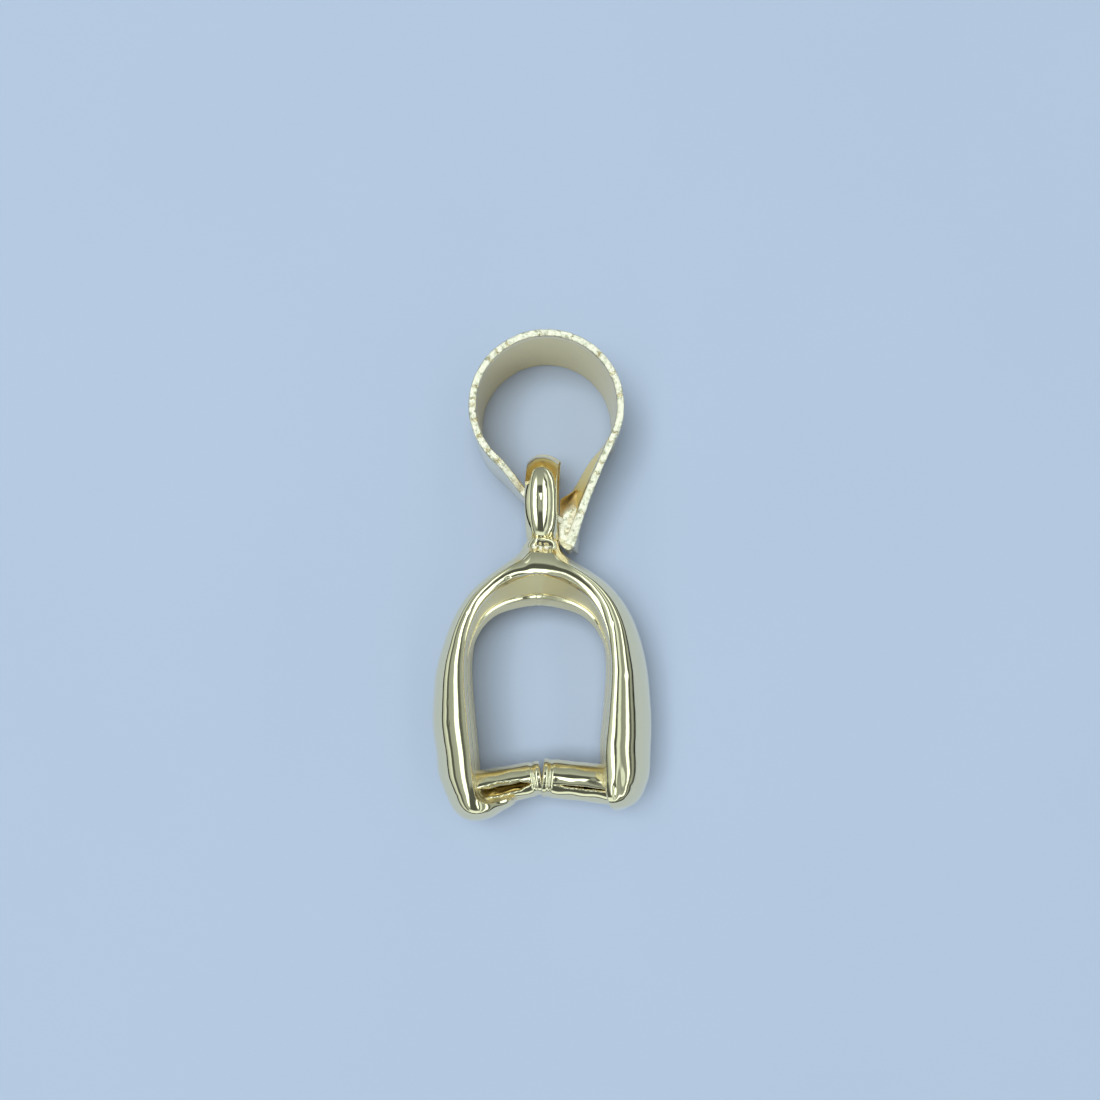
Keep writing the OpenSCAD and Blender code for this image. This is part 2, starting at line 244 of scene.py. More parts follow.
def strap_grid(s, lay):
    """The strap on edge: a rounded rectangle carried along the left leg, the round part and the right
    leg. The mid line is straight, an arc and straight, with sine bows on the legs. The width falls
    from the round part towards the ring, the right leg thickens to the tip, and its far edge leans
    inwards. The near cut edge is slightly arched, rises and tilts by ripples 0.2 to 3 mm long, and
    dips at the marks of the cutter."""
    left_l = np.linalg.norm(lay.left_touch - lay.lap_end)
    right_l = np.linalg.norm(lay.right_touch - lay.tip)
    a_left = np.arctan2(*(lay.left_touch - lay.loop_c)[::-1]) + 2 * np.pi
    a_right = np.arctan2(*(lay.right_touch - lay.loop_c)[::-1])
    arc_l = (a_left - a_right) * lay.loop_r
    total = left_l + arc_l + right_l
    d = np.linspace(0, total, STRAP_STATIONS)
    on_left, on_right = d < left_l, d > left_l + arc_l
    up_left = np.clip(d / left_l, 0, 1)
    up_right = np.clip((total - d) / right_l, 0, 1)
    angle = a_left - (d - left_l) / lay.loop_r
    thick = lerp(s.strap_t, s.lap_t, (1 - up_right) ** 3) * lerp(0.75, 1.0, step(0.0, 0.1, up_left))
    bow = s.leg_bow * np.sin(np.pi * up_left) ** 2
    mid = lay.loop_c + lay.loop_r * np.stack([np.cos(angle), np.sin(angle)], axis=-1)
    left = lerp(lay.lap_end, lay.left_touch, up_left[:, None]) + bow[:, None] * left_of(lay.left_dir)
    inwards = (thick - s.strap_t) / 2 + s.right_bow * np.sin(np.pi * up_right)
    right = lerp(lay.tip, lay.right_touch, up_right[:, None]) + inwards[:, None] * left_of(lay.right_dir)
    mid[on_left], mid[on_right] = left[on_left], right[on_right]
    inward = unit(left_of(unit(np.gradient(mid, axis=0))))
    inward = np.where(((lay.loop_c - mid) * inward).sum(-1, keepdims=True) < 0, -inward, inward)
    # widths: from the pass through the ring to the full strap
    narrow_left = np.clip((1 - up_left) / lay.narrow_at, 0, 1) ** 1.6
    narrow = np.maximum(narrow_left, (1 - up_right) ** 1.6)
    width = lerp(s.strap_w, lay.pass_w, narrow)
    centre_z = lerp(s.strap_w / 2, lay.mid_z, narrow)
    twist = s.leg_twist * np.interp(up_right, *np.transpose(TWIST)) * (up_right < 1)
    # cross-section: four rounded corners of 6 points, 18 more along each wall, 13 along each cut edge
    half_t, half_w = thick[:, None] / 2, width[:, None] / 2
    box = np.stack(
        [
            np.concatenate([half_t, half_t, -half_t, -half_t], axis=1),
            np.concatenate([half_w, -half_w, -half_w, half_w], axis=1),
        ],
        axis=-1,
    )
    walls = np.linspace(0, 1, 20)[None, 1:-1, None]
    cuts = np.linspace(0, 1, 15)[None, 1:-1, None]
    corner = rounded_corners(box, [s.edge_round] * 4, 6).reshape(len(d), 4, 6, 2)
    sides = []
    for i, share in enumerate((walls, cuts, walls, cuts)):
        sides += [corner[:, i], lerp(corner[:, i, -1:], corner[:, (i + 1) % 4, :1], share)]
    section = np.concatenate(sides, axis=1)
    q, z = section[..., 0], section[..., 1]
    near, far = step(0.3, 0.0, half_w - z), step(0.3, 0.0, half_w + z)
    flat = step(0.06, 0.02, half_w - z)
    along = d[:, None]
    fade = step(0, 0.3, along) * step(0, 0.2, total - along)
    uneven = 0.02 * ripple(along, (2.3, 0.83, 0.47), 3) + 0.004 * ripple(along, (0.29, 0.21, 0.17), 8)
    ticks = 0 * z
    # each mark is a dip that is deeper on one side, with a thin wavy scratch; long dips are dark all over
    for place, size, depth in NICKS:
        middle = place * total
        dip = bump(along, middle, size) * (0.6 + 0.4 * np.sin(9 * q / half_t + 50 * place))
        uneven = uneven - 1.7 * depth * dip
        scratch = bump(along, middle + 0.05 * np.sin(5 * q / half_t + 40 * place), 0.02)
        ticks = ticks + scratch + dip * min(0.8, 6 * max(size - 0.05, 0))
    tilt = 0.2 * ripple(along, (3.1, 1.7, 0.71, 0.41), 5)
    z = z + near * fade * (uneven - 0.035 + tilt * q - 0.9 * q**2) - far * 0.01 * ripple(along, (1.7, 0.6), 9)
    q = q + 0.008 * ripple(along + 0.4 * z, (2.9, 1.3, 0.7), 12) * np.sign(q) * fade
    depth_share = np.clip((half_w - z) / (2 * half_w), 0, 1)
    q_far = q + twist[:, None] * depth_share
    plan = mid[:, None, :] + q_far[..., None] * inward[:, None, :]
    grid = np.concatenate([plan, np.maximum(centre_z[:, None] + z, 0.0)[..., None]], axis=-1)
    crotch = step(0.97, 0.78, up_right)[:, None] * step(0.04, 0.12, depth_share) * (q > 0)
    wall = (q > 0) * step(0.03, 0.1, depth_share)
    marks = {"cut": flat * (1 - 0.85 * np.clip(ticks, 0, 1)), "along": along, "across": q}
    # painted glow on the crotch and the loop's inner walls: deeper, less metallic gold for reflected light
    marks["painted_glow"] = np.maximum(0.9 * crotch, 0.5 * wall)
    marks["satin"] = np.maximum(0.6 * crotch, 0.15 * wall)
    return grid, marks


def solder_grid(s, lay):
    """Solder in the crotch of the loop's two ends: a closed outline of eight points, corners rounded,
    carried from the far side to the near side and drawn in to a pole at each, the near face lumpy."""
    r, n = lay.right_dir, left_of(lay.right_dir)

    def at(along, across):
        return lay.tip + along * r + across * n

    x = lay.inner_x - SOLDER_REACH
    crotch = lerp(lay.lap_end, lay.left_touch, (lay.lap_end[0] - x) / (lay.lap_end[0] - lay.left_touch[0]))
    outline = np.array(
        [
            (x, crotch[1] + 1.1), at(2.7, 0.62), at(2.5, 0.1), at(s.lap_l, -s.strap_t / 4),
            at(-s.strap_t / 2, -s.strap_t / 4), at(-s.strap_t * 2 / 3, s.strap_t / 4),
            (x, at(0, s.strap_t)[1]), (x, crotch[1] - s.strap_t / 2),
        ]
    )
    ring = rounded_corners(outline[None], [0.15, 0.2, 0.2, 0.3, 0.12, 0.16, 0.1, 0.1], 22)[0]
    middle = at(0.75, 0.4)
    u = np.linspace(-1, 1, SOLDER_STATIONS)
    v = np.sign(u) * (1 - (1 - np.abs(u)) ** 2)
    share = (1 - np.abs(v) ** 9) ** (1 / 3)
    height = np.sign(v) * (1 - (1 - np.abs(v)) ** 2.6)
    plan = middle + (ring - middle)[None] * share[:, None, None]
    along = ((plan - lay.tip) * r).sum(-1)
    across = ((plan - lay.tip) * n).sum(-1)
    top = step(0.2, 0.8, v)[:, None]
    lumps = 0.02 * np.sin(5.2 * along + 1.0) * np.sin(7.1 * across + 0.4)
    lumps = lumps + 0.006 * np.sin(13 * along - 8 * across)
    fall = 1.5 * step(-0.15, 0.4, across - 1.2 + 0.27 * along) + 1.2 * step(1.6, 2.4, along)
    fall = fall + 0.25 * step(0.25, -0.15, along)
    seam = 0.07 * bump(across - 0.3 - 0.12 * along, 0, 0.05) * step(0.1, 0.5, along)
    crossing = 0.05 * bump(along - 0.42 - 0.3 * across, 0, 0.05)
    z = lay.mid_z + (0.5 * lay.pass_w) * height[:, None] + top * (lumps - fall - seam - crossing)
    # the outer side keeps inside the strap, whose far edge leans inwards
    lean = s.leg_twist * np.interp(along / np.linalg.norm(lay.right_touch - lay.tip), *np.transpose(TWIST))
    depth_share = np.clip((lay.mid_z + lay.pass_w / 2 - z) / lay.pass_w, 0, 1)
    inwards = np.maximum(lean * depth_share, 0) * step(1.0, 0.3, across)
    plan = plan + inwards[..., None] * n
    # the side towards the ring leans with the ring
    plan[..., 0] -= np.tan(np.radians(s.ring_turn)) * (z - lay.mid_z) * step(x + 0.6, x, plan[..., 0])
    grid = np.concatenate([plan, z[..., None]], axis=-1)
    deep = np.clip(fall, 0, 1)
    # painted light on the solder: its top takes the cut edge's near-white colour as a painted highlight, its
    # steep fall deeper, less metallic gold as a painted glow of reflected light
    marks = {"along": along, "across": across, "cut": top * (1 - deep)}
    return grid, marks | {"painted_glow": 0.45 * deep, "satin": 0.8 * deep}


# Half of the clip's band from the top of the arch down an arm, in shares of the sizes:
# half gap, height below the lip, crown on the right and on the left, depth, liner, and the dome's
# fullness on the right and on the left (1 is an ellipse, less is squarer)
BAND = [
    (0, 0, 0.64, 0.64, 0.84, 1, 1.05, 1.05),
    (0.13, 0.004, 0.59, 0.58, 0.84, 0.98, 0.98, 0.92),
    (0.34, 0.024, 0.49, 0.42, 0.86, 0.9, 0.62, 0.58),
    (0.59, 0.07, 0.5, 0.38, 0.9, 0.66, 0.62, 0.54),
    (0.79, 0.133, 0.58, 0.41, 0.94, 0.42, 0.72, 0.56),
    (0.92, 0.215, 0.67, 0.47, 0.97, 0.2, 0.86, 0.62),
    (0.985, 0.31, 0.76, 0.57, 1, 0.04, 1.0, 0.68),
    (0.995, 0.41, 0.85, 0.7, 1, 0, 1.06, 0.74),
    (0.95, 0.57, 0.98, 0.81, 1, 0, 1.08, 0.76),
    (0.905, 0.69, 1.02, 0.8, 1, 0, 1.05, 0.78),
]
# The right arm ends in a rounded finger, and the left arm turns in under its peg:
# half gap, height below the lip, crown, depth, inner face
FINGER = [
    (0.91, 0.783, 0.99, 1, 0),
    (0.905, 0.83, 0.93, 0.97, 0.01),
    (0.9, 0.87, 0.85, 0.9, 0.05),
    (0.895, 0.905, 0.73, 0.76, 0.12),
    (0.895, 0.93, 0.6, 0.56, 0.2),
    (0.895, 0.947, 0.46, 0.3, 0.28),
]
HOOK = [
    (0.873, 0.783, 0.79, 0.99, 0),
    (0.845, 0.842, 0.7, 0.96, 0),
    (0.797, 0.879, 0.62, 0.9, 0),
    (0.682, 0.895, 0.42, 0.8, 0),
    (0.524, 0.891, 0.27, 0.62, 0),
    (0.3, 0.876, 0.2, 0.42, 0),
]
# Beads of solder on the neck: place x, y and z, half width and half length, all in mm
BEADS = [(-0.36, 1.17, 4.3, 0.12, 0.09), (-0.08, 1.12, 4.34, 0.09, 0.12), (0.18, 1.15, 4.32, 0.12, 0.10)]
# Dents of the dome: place in mm, half width and half length, height
DENTS = [
    (-1.56, -0.28, 0.07, 0.05, -0.02), (-3.34, -1.83, 0.06, 0.06, -0.01), (-4.16, -5.89, 0.05, 0.12, -0.01),
    (-4.15, -6.77, 0.05, 0.12, -0.01), (3.75, -4.7, 0.05, 0.14, -0.01), (3.14, -2.33, 0.05, 0.08, -0.01),
    (3.5, -9.35, 0.14, 0.6, -0.035), (3.2, -9.75, 0.05, 0.3, -0.02),
]


def band_grid(s, lay):
    """The clip's band: at each station of a smooth curve through the tables stands a closed section,
    a superellipse dome outside and, inside, lip, sloping recess, the liner's cut edge and its bowed
    wall. Near the middle a bell of the power 5 carries the dome up to the ring's foot as a neck."""
    left = [(-g, h, cl, z, n, 0, pl) for g, h, _, cl, z, n, _, pl in BAND[::-1]]
    right = [(g, h, cr, z, n, 0, pr) for g, h, cr, _, z, n, pr, _ in BAND[1:]]
    hook = [(-g, h, c, z, 0, i, 0.8) for g, h, c, z, i in HOOK[::-1]]
    finger = [(g, h, c, z, 0, i, 1.0) for g, h, c, z, i in FINGER]
    rows = hook + left + right + finger
    t = np.linspace(0, len(rows) - 1, BAND_STATIONS)
    x, drop, crown, depth, liner, inner, fullness = smooth_rows(rows, t).T
    place = np.stack([lay.arch_x + x * s.clip_gap / 2, lay.lip_y - drop * s.clip_h], axis=-1)
    out = left_of(unit(np.gradient(place, axis=0)))
    along = np.concatenate([[0], np.cumsum(np.linalg.norm(np.diff(place, axis=0), axis=1))])
    half = (POLISHED_DEPTH * s.clip_depth / 2 * depth)[:, None]
    foot = (inner * s.arm_t)[:, None]
    flare = s.neck_rise / (1 + np.abs((place[:, 0] - lay.ring_c[0] + s.neck_left) / s.neck_w) ** 5)
    top = (crown * s.arm_t + flare)[:, None]
    # dome: cos and sin to a power
    a = np.radians(89.4 * np.sin(np.radians(np.linspace(90, -90, 84))))[None]
    power = fullness[:, None]
    dome_q = foot + (top - foot) * np.cos(a) ** power
    dome_z = half * np.sign(a) * np.abs(np.sin(a)) ** power
    dome_z = dome_z + np.sign(a) * flare[:, None] * s.neck_fill * step(1.2, 1.75, dome_q)
    # inside, from the far lip to the near lip
    sunk = s.liner_drop * liner[:, None]
    ledge = s.liner_t * np.minimum(1, liner * 3)[:, None]
    bow = s.liner_bow * np.minimum(1, liner * 1.5)[:, None]
    edge_z = half * (1 - 2 * s.liner_inset / s.clip_depth)
    lip_z = half - np.minimum(s.lip_round, half / 4)
    cove = [lerp(foot, foot + ledge - sunk, f) for f in (0.15, 0.85)]
    cove_z = [lerp(lip_z, edge_z, f) for f in (0.15, 0.85)]
    corner_q = np.concatenate([foot, *cove, foot + ledge - sunk, foot - sunk], axis=1)
    corner_z = -np.concatenate([lip_z, *cove_z, edge_z, edge_z * 1.012], axis=1)
    down = np.stack([corner_q, corner_z], axis=-1)
    up = down[:, ::-1] * [1, -1]
    f = np.linspace(0, 1, 15)[None, 1:-1]
    wall_q = lerp(down[:, 4:, 0], up[:, :1, 0], f) - bow * (1 - (2 * f - 1) ** 2)
    wall = np.stack([wall_q, lerp(down[:, 4:, 1], up[:, :1, 1], f)], axis=-1)
    dome = np.stack([dome_q, dome_z], axis=-1)
    corners = np.concatenate([dome[:, -1:], down, wall, up, dome[:, :1]], axis=1)
    radii = [0.05, 0.1, 0.02, 0.02, 0.03, 0.03] + [0.02] * 13 + [0.03, 0.03, 0.02, 0.02, 0.1, 0.05]
    inside = rounded_corners(corners, radii, 5)[:, 2:-2]
    section = np.concatenate([dome[:, 1:-1], inside], axis=1)
    # rounded ends
    from_end = np.minimum(along, along[-1] - along)[:, None, None]
    close = np.sqrt(np.clip(1 - (1 - np.clip(from_end / 0.45, 0, 1)) ** 2, 0.0004, 1))
    middle = section.mean(axis=1, keepdims=True)
    section = middle + (section - middle) * close
    q, z = section[..., 0], section[..., 1]
    waves = 0.008 * ripple(along[:, None] + 0.2 * z, (3.7, 2.1, 1.3), 21)
    waves = waves + 0.003 * ripple(along[:, None], (0.9, 0.55), 22)
    q = q + waves * step(0.1, 0.5, q)
    plan = place[:, None, :] + q[..., None] * out[:, None, :]
    for px, py, size_x, size_y, rise in DENTS:
        hump = bump(plan[..., 0], px, size_x) * bump(plan[..., 1], py, size_y)
        z = z + rise * hump * step(0.8, 1.2, z)
    # the neck stops inside the ring's wall
    reach = lay.hole_r + s.ring_t / 3
    wall_y = lay.ring_c[1] - np.sqrt(np.clip(reach**2 - z**2, 0, None))
    plan[..., 1] = np.where(np.abs(z) < reach, np.minimum(plan[..., 1], wall_y), plan[..., 1])
    grid = np.concatenate([plan, (lay.mid_z + z)[..., None]], axis=-1)
    # five points to a corner: rim and lip, the dull recess, the liner's cut edge, then the dull wall
    half_inside = [0] * 8 + [0.75] * 10 + [0] * 10
    dull = np.array([0] * (dome.shape[1] - 2) + half_inside + [0.75] * 65 + half_inside[::-1])
    foot_of_ring = step(0.45, 0.95, plan[..., 1]) * (z > 0)
    # painted glow: the dull recess and wall get slightly deeper, less metallic gold for reflected light
    return grid, {"satin": np.maximum(dull, 0.12 * foot_of_ring), "painted_glow": 0.1 * dull}


def bead_grid(x, y, z, half_w, half_l):
    """A bead of solder: an ellipsoid, its stations running from the left to the right."""
    u, v = np.linspace(0.01, np.pi - 0.01, 24)[:, None], np.linspace(0, 2 * np.pi, 32, endpoint=False)[None]
    lumpy = 1 + 0.06 * np.sin(3 * v + 2 * u)
    grid = [x - half_w * np.cos(u) + 0 * v, y + half_l * np.sin(u) * np.cos(v) * lumpy]
    # painted highlight: the whole bead takes the cut edge's near-white, partly matt colour
    return np.stack([*grid, z + 0.11 * np.sin(u) * np.sin(v) * lumpy], axis=-1), {"cut": 1 + 0 * u * v}


# Slope of the ring's crown across its band: share of the half width, degrees
CROWN = [
    (-1, -46), (-0.95, -38), (-0.62, -28), (-0.56, -21), (-0.44, -10), (-0.4, -8), (-0.2, -3), (-0.15, 0),
    (0.13, 7), (0.19, 16), (0.42, 20), (0.48, 23.5), (0.53, 26), (0.65, 29.5), (0.68, 31), (0.8, 37),
    (0.88, 44), (0.97, 50), (1, 56),
]


def ring_grid(s, lay):
    """The ring: a closed section (a crown whose slope follows a table outside, a straight bore inside,
    corners rounded) carried round the ring's axis, which lies across the clip. The near half is
    turned a little about the clip's centre line, and the far half leans back to the same side."""
    w = s.ring_w / 2 - RING_TRIM
    x = np.linspace(-w, w, CROWN_POINTS)
    fall = np.cumsum(np.tan(np.radians(np.interp(x / w, *np.transpose(CROWN))))) * (x[1] - x[0])
    side, inner_r = 0.03, lay.hole_r
    r = np.maximum(lay.ring_r - fall + fall.min(), inner_r + side)
    edge = np.linspace(-np.pi / 2, 0, 6)
    right = np.stack([w - side + side * np.cos(edge), inner_r + side + side * np.sin(edge)], axis=-1)[::-1]
    bore_x = np.linspace(w - side, side - w, 14)[1:-1]
    bore = np.stack([bore_x, np.full(len(bore_x), inner_r)], axis=-1)
    section = np.concatenate([np.stack([x, r], axis=-1), right, bore, right[::-1] * [-1, 1]])
    angle = np.linspace(0, 2 * np.pi, RING_ANGLES, endpoint=False)[:, None]
    sx, sr = section[None, :, 0], section[None, :, 1]
    wave = 1 - 0.002 * (1 + np.sin(3 * angle + 1)) - 0.0015 * (1 + np.sin(7 * angle))
    wave = np.where(sr > inner_r + side, wave, 1)
    y, z0 = lay.ring_c[1] + sr * wave * np.cos(angle), sr * wave * np.sin(angle)
    turn = np.radians(s.ring_turn)
    px = lay.ring_c[0] + sx * np.cos(turn) - np.where(z0 > 0, z0, -FAR_LEAN * z0) * np.sin(turn)
    pz = lay.mid_z + z0 * np.cos(turn) + sx * np.sin(turn)
    bored = (sr < inner_r + side) + 0 * angle
    # painted glow on the ring's top, where the loop hangs on it: deeper, less metallic gold for reflected
    # light
    cap = step(0.86, 0.97, np.cos(angle)) * (sr > inner_r + side)
    return np.stack([px, y, pz], axis=-1), {"painted_glow": 0.7 * cap, "satin": 0.9 * bored + 0.5 * cap}


# Half width of a peg's leaf-shaped seam: share of the way from the tip, share of the widest half width
LEAF = [(0, 0), (0.12, 0), (0.2, 0.45), (0.32, 0.8), (0.5, 0.97), (0.65, 1), (0.85, 0.85), (1, 0.62)]


def peg_grid(s, lay, side, rise, tip_r, seam_w, seam_turn):
    """A peg rolled from sheet: a C-shaped section (outer arc, rounded edge, inner arc, rounded edge)
    carried from the middle into the arm. The opening of the C follows a leaf shape, widest towards
    the arm. At the middle the section draws in a little behind a collar, and closes flat."""
    length = s.clip_gap / 2 * 0.9 + 0.3
    v = 1 - np.cos(np.linspace(0, np.pi / 2, PEG_STATIONS))
    d = v * length
    r = (lerp(tip_r, s.peg_root_r, v) + s.peg_swell) * (1 - 0.06 * bump(d, 0.34, 0.1))
    round_end = np.sqrt(np.clip(1 - (1 - np.clip(d / 0.08, 0, 1)) ** 2, 0.0009, 1))
    r_out = r * lerp(0.92, 1, round_end)
    leaf = np.interp(v, *np.transpose(LEAF))
    opening = np.maximum(seam_w / 2 * leaf * (1 + 0.04 * np.sin(7 * d) + 0.03 * np.sin(19 * d + 1)), 0.012)
    half_gap = np.arcsin(np.clip(opening / r_out, 0, 0.97))[:, None]
    wall = lerp(r_out * 0.98, np.full_like(d, s.peg_wall), step(0.2, 0.75, d))
    k = np.linspace(0, 1, 84)[None]
    sweep = 2 * np.pi - 2 * half_gap
    r_in = np.maximum(r_out - wall, 0.02)
    edge = np.linspace(0, np.pi, 11)[None, 1:-1]
    mid_r, half_wall = ((r_out + r_in) / 2)[:, None], ((r_out - r_in) / 2)[:, None]
    lip = np.minimum(half_wall * 0.9, 0.09) / mid_r
    start, finish = half_gap, half_gap + sweep
    outer = np.stack([start + sweep * k, r_out[:, None] + 0 * k], axis=-1)
    first = np.stack([finish + lip * np.sin(edge), mid_r + half_wall * np.cos(edge)], axis=-1)
    inner = np.stack([start + sweep * k[:, ::-1], r_in[:, None] + 0 * k], axis=-1)
    second = np.stack([start - lip * np.sin(edge), mid_r - half_wall * np.cos(edge)], axis=-1)
    section = np.concatenate([outer, first, inner, second], axis=1)
    a, rr = section[..., 0] + np.radians(seam_turn), section[..., 1]
    along = d[:, None]
    waves = 0.014 * np.sin(2.3 * along) * np.sin(2 * a + 0.6)
    waves = waves + 0.008 * np.sin(5.1 * along + 1) * np.sin(5 * a)
    rr = rr * (1 - (0.014 + waves) * step(0.3, 0.8, along))
    up, fore = rr * np.cos(a), rr * np.sin(a)
    slope = np.radians(rise)
    base = np.array([lay.arch_x + s.peg_meet + side * s.peg_gap / 2, lay.end_y + s.peg_up])
    over = np.maximum(along * np.cos(slope) + fore * np.sin(slope), 0)
    x = base[0] + side * over
    y = base[1] + s.peg_swell - along * np.sin(slope) + fore * np.cos(slope)
    return np.stack([x, y, lay.mid_z + up], axis=-1)


# Finishes


def linear(colour):
    """sRGB hex such as "d9c88f" to linear RGBA."""
    v = np.array([int(colour[i : i + 2], 16) for i in (0, 2, 4)]) / 255
    v = np.where(v <= 0.04045, v / 12.92, ((v + 0.055) / 1.055) ** 2.4)
    return (*v.tolist(), 1.0)


def add(tree, kind, inputs=None, **settings):
    """Adds a node. settings are its properties; inputs maps a socket's name or number to a value or
    to another node's output."""
    node = tree.nodes.new(kind)
    for key, value in settings.items():
        setattr(node, key, value)
    for key, value in (inputs or {}).items():
        if isinstance(value, bpy.types.NodeSocket):
            tree.links.new(value, node.inputs[key])
        else:
            node.inputs[key].default_value = value
    return node


def new_material(name):
    material = bpy.data.materials.new(name)
    material.use_nodes = True
    tree = material.node_tree
    tree.nodes.clear()
    return material, tree


def plate_colour(tree, c):
    """The plate's colour and its share of mirror, with painted glow: deeper, less metallic gold where a
    mark asks for it, standing in for light reflected between the gold surfaces in recesses and crotches."""
    painted_glow = add(tree, "ShaderNodeAttribute", attribute_name="painted_glow").outputs["Fac"]
    mixed = {"Factor": painted_glow, "A": linear(c.plate), "B": linear(c.recess)}
    colour = add(tree, "ShaderNodeMix", mixed, data_type="RGBA").outputs["Result"]
    metal = add(tree, "ShaderNodeMapRange", {"Value": painted_glow, "To Min": 1.0, "To Max": 0.4}).outputs["Result"]
    return colour, metal


def roughened(tree, rough):
    """Roughness with more where the mark "satin" says that polishing didn't reach."""
    satin = add(tree, "ShaderNodeAttribute", attribute_name="satin").outputs["Fac"]
    return add(tree, "ShaderNodeMath", {0: satin, 1: 0.5, 2: rough}, operation="MULTIPLY_ADD").outputs[0]


def polished_plate(c):
    """Brass, pressed and barrel-polished, then plated in pale gold. It gives the eye sharp stripes of
    the lights, softened here and there by a fine haze, with faint drawn lines and orange peel."""
    material, tree = new_material("gold_plate_polished")
    place = add(tree, "ShaderNodeTexCoord").outputs["Object"]
    peel = add(tree, "ShaderNodeTexNoise", {"Vector": place, "Scale": 700.0, "Detail": 3.0, "Roughness": 0.5})
    spread = {"Value": peel.outputs["Fac"], "From Min": 0.4, "From Max": 0.7, "To Min": 0.04, "To Max": 0.09}
    haze = roughened(tree, add(tree, "ShaderNodeMapRange", spread).outputs["Result"])
    soft = {"Height": peel.outputs["Fac"], "Strength": 0.3, "Distance": 0.00002}
    normal = add(tree, "ShaderNodeBump", soft).outputs["Normal"]
    colour, metal = plate_colour(tree, c)
    look = {"Base Color": colour, "Metallic": metal, "Roughness": haze, "Normal": normal}
    shader = add(tree, "ShaderNodeBsdfPrincipled", look)
    add(tree, "ShaderNodeOutputMaterial", {"Surface": shader.outputs["BSDF"]})
    return material


def strap_plate(c):
    """The same plate on rolled strap. Its walls are smooth from the rolls; its edge was cut by a blade and
    lightly tumbled, grainy, with dark cross ticks, and painted almost white and partly matt as a painted
    highlight."""
    material, tree = new_material("gold_plate_on_cut_strap")
    place = add(tree, "ShaderNodeTexCoord").outputs["Object"]
    cut = add(tree, "ShaderNodeAttribute", attribute_name="cut").outputs["Fac"]
    along = add(tree, "ShaderNodeAttribute", attribute_name="along").outputs["Fac"]
    across = add(tree, "ShaderNodeAttribute", attribute_name="across").outputs["Fac"]
    spot = add(tree, "ShaderNodeCombineXYZ", {"X": along, "Y": across, "Z": 0.0}).outputs["Vector"]
    grain = add(tree, "ShaderNodeTexNoise", {"Vector": spot, "Scale": 4.5, "Detail": 4.0, "Roughness": 0.65})
    on_cut = add(tree, "ShaderNodeMath", {0: grain.outputs["Fac"], 1: cut}, operation="MULTIPLY").outputs[0]
    peel = add(tree, "ShaderNodeTexNoise", {"Vector": place, "Scale": 600.0, "Detail": 2.0}).outputs["Fac"]
    rough = add(tree, "ShaderNodeMapRange", {"Value": cut, "To Min": 0.12, "To Max": 0.2}).outputs["Result"]
    rough = roughened(tree, rough)
    smooth = {"Height": peel, "Strength": 0.2, "Distance": 0.00002}
    normal = add(tree, "ShaderNodeBump", smooth).outputs["Normal"]
    grainy = {"Height": on_cut, "Strength": 0.9, "Distance": 0.0001, "Normal": normal}
    normal = add(tree, "ShaderNodeBump", grainy).outputs["Normal"]
    plate, metal = plate_colour(tree, c)
    # painted highlight: the cut edge is paler and less metallic, standing in for its bright reflection of the
    # lights
    metal = add(tree, "ShaderNodeMath", {0: cut, 1: -0.3, 2: metal}, operation="MULTIPLY_ADD").outputs[0]
    patches = {"Value": grain.outputs["Fac"], "From Min": 0.5, "From Max": 0.66, "To Max": 0.8}
    patches = add(tree, "ShaderNodeMapRange", patches).outputs["Result"]
    mottled = {"Factor": patches, "A": linear(c.cut_edge_sheen), "B": linear(c.torn)}
    mottled = add(tree, "ShaderNodeMix", mottled, data_type="RGBA").outputs["Result"]
    pale = {"Factor": cut, "A": plate, "B": mottled}
    colour = add(tree, "ShaderNodeMix", pale, data_type="RGBA").outputs["Result"]
    look = {"Base Color": colour, "Metallic": metal, "Roughness": rough, "Normal": normal}
    shader = add(tree, "ShaderNodeBsdfPrincipled", look)
    add(tree, "ShaderNodeOutputMaterial", {"Surface": shader.outputs["BSDF"]})
    return material


def painted_board(c):
    """Matt painted board, rolled on: an even pale blue with a very faint grain."""
    material, tree = new_material("matt_painted_board")
    place = add(tree, "ShaderNodeTexCoord").outputs["Object"]
    cloud = add(tree, "ShaderNodeTexNoise", {"Vector": place, "Scale": 60.0, "Detail": 2.0})
    colour = add(
        tree,
        "ShaderNodeMix",
        {"Factor": cloud.outputs["Fac"], "A": linear(c.board), "B": linear(c.board_light)},
        data_type="RGBA",
    )
    shader = add(tree, "ShaderNodeBsdfPrincipled", {"Base Color": colour.outputs["Result"], "Roughness": 0.7})
    add(tree, "ShaderNodeOutputMaterial", {"Surface": shader.outputs["BSDF"]})
    return material


def finish(name, maker, colours):
    """A material by name, made once."""
    return bpy.data.materials.get(name) or maker(colours)


# Sizes and colours


def measure(name, description, default):
    return bpy.props.FloatProperty(name=name, description=description, default=default, min=0.0)


def hex_colour(name, description, default):
    return bpy.props.StringProperty(name=name, description=description, default=default)


